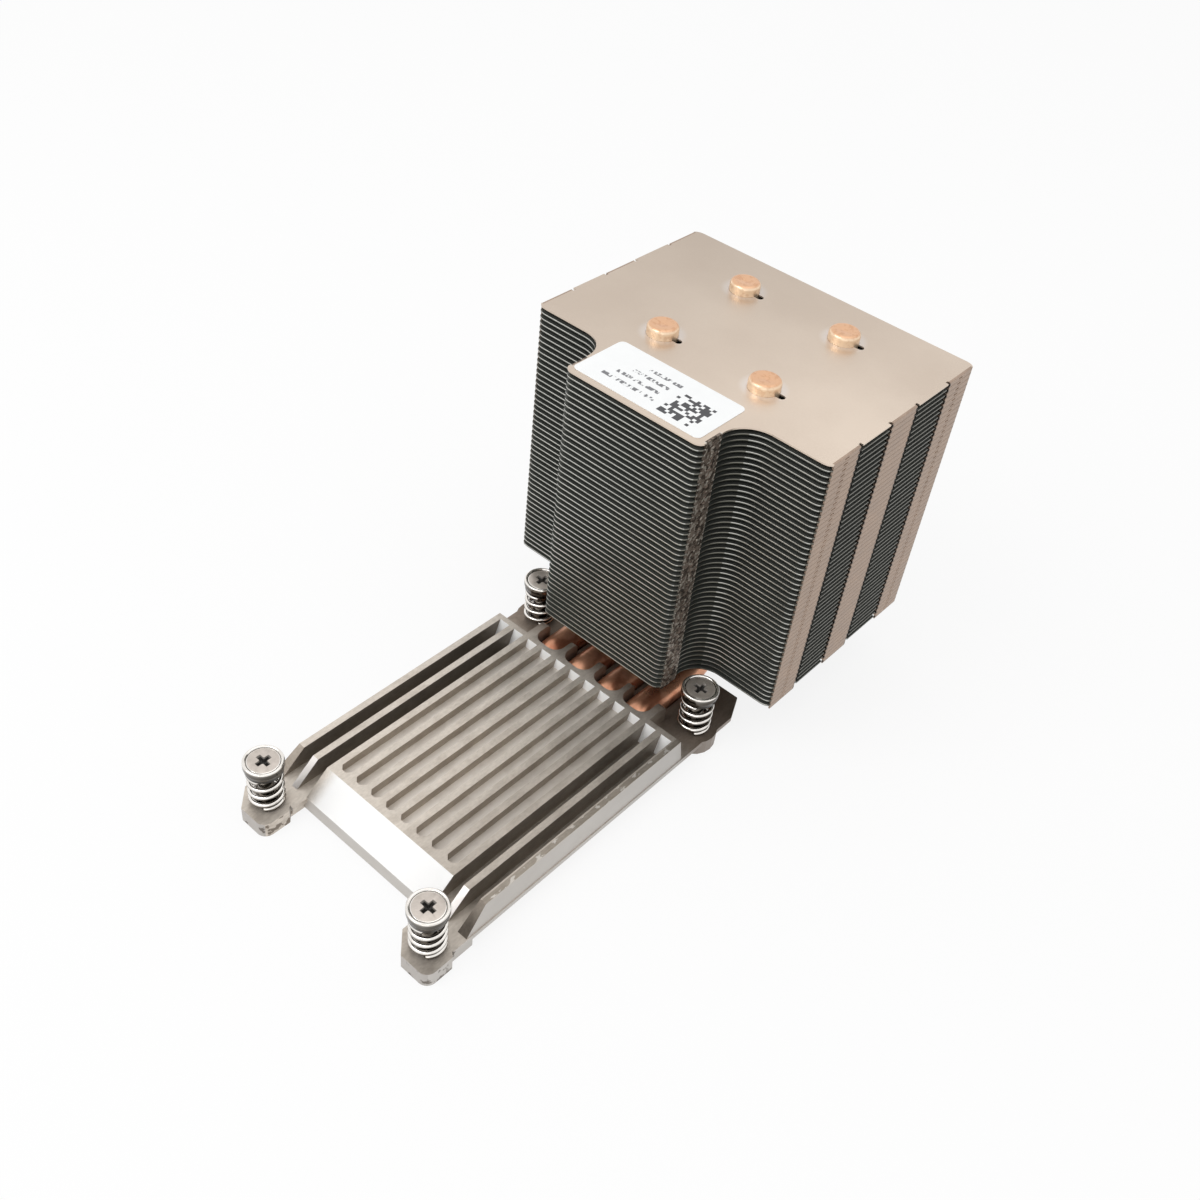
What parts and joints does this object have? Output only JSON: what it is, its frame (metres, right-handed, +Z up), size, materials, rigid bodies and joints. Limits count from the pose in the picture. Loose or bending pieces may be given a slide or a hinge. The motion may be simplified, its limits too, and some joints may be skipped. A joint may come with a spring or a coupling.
{
  "type": "passive server cpu heatsink",
  "caption": "Passive server processor heatsink: ribbed cast base, copper heat pipes rising into a tall T-shaped fin stack, and captive spring screws at the corners.",
  "frame": {"origin": "centre of the screw pattern, on the underside of the base", "axes": "+Z up out of the board, +Y towards the fin stack, +X to the right seen from the low end"},
  "size_m": [0.0874, 0.171, 0.0962],
  "materials": {
    "casting": "satin die-cast metal with machined rib tops",
    "copper": "bare copper",
    "fins": "smooth plated sheet",
    "label": "matt paper label",
    "plated_steel": "bright nickel plate"
  },
  "bodies": {
    "heatsink": {"base_casting": "casting", "cold_plate": "copper", "fin_stack": "fins", "front_left_spring": "plated_steel", "front_right_spring": "plated_steel", "label": "label", "left_front_heat_pipe": "copper", "left_rear_heat_pipe": "copper", "rear_left_spring": "plated_steel", "rear_right_spring": "plated_steel", "right_front_heat_pipe": "copper", "right_rear_heat_pipe": "copper", "top_fin": "fins"},
    "front_left_cup_slide": {"front_left_spring_cup": "plated_steel"},
    "front_left_screw_spin": {"front_left_screw": "plated_steel", "front_left_retaining_ring": "plated_steel"},
    "front_right_cup_slide": {"front_right_spring_cup": "plated_steel"},
    "front_right_screw_spin": {"front_right_screw": "plated_steel", "front_right_retaining_ring": "plated_steel"},
    "rear_left_cup_slide": {"rear_left_spring_cup": "plated_steel"},
    "rear_left_screw_spin": {"rear_left_screw": "plated_steel", "rear_left_retaining_ring": "plated_steel"},
    "rear_right_cup_slide": {"rear_right_spring_cup": "plated_steel"},
    "rear_right_screw_spin": {"rear_right_screw": "plated_steel", "rear_right_retaining_ring": "plated_steel"}
  },
  "joints": [
    {"name": "front_left_press", "type": "slide", "parent": "heatsink", "child": "front_left_cup_slide", "axis": [0, 0, -1], "range_m": [0, 0.004], "stiffness_N_per_m": 2500, "springref_m": -0.002, "deforming": ["front_left_spring"]},
    {"name": "front_left_turn", "type": "hinge", "parent": "front_left_cup_slide", "child": "front_left_screw_spin", "pos_m": [-0.028, -0.047, 0.01], "axis": [0, 0, 1], "continuous": true},
    {"name": "front_right_press", "type": "slide", "parent": "heatsink", "child": "front_right_cup_slide", "axis": [0, 0, -1], "range_m": [0, 0.004], "stiffness_N_per_m": 2500, "springref_m": -0.002, "deforming": ["front_right_spring"]},
    {"name": "front_right_turn", "type": "hinge", "parent": "front_right_cup_slide", "child": "front_right_screw_spin", "pos_m": [0.028, -0.047, 0.01], "axis": [0, 0, 1], "continuous": true},
    {"name": "rear_left_press", "type": "slide", "parent": "heatsink", "child": "rear_left_cup_slide", "axis": [0, 0, -1], "range_m": [0, 0.004], "stiffness_N_per_m": 2500, "springref_m": -0.002, "deforming": ["rear_left_spring"]},
    {"name": "rear_left_turn", "type": "hinge", "parent": "rear_left_cup_slide", "child": "rear_left_screw_spin", "pos_m": [-0.028, 0.047, 0.01], "axis": [0, 0, 1], "continuous": true},
    {"name": "rear_right_press", "type": "slide", "parent": "heatsink", "child": "rear_right_cup_slide", "axis": [0, 0, -1], "range_m": [0, 0.004], "stiffness_N_per_m": 2500, "springref_m": -0.002, "deforming": ["rear_right_spring"]},
    {"name": "rear_right_turn", "type": "hinge", "parent": "rear_right_cup_slide", "child": "rear_right_screw_spin", "pos_m": [0.028, 0.047, 0.01], "axis": [0, 0, 1], "continuous": true}
  ]
}
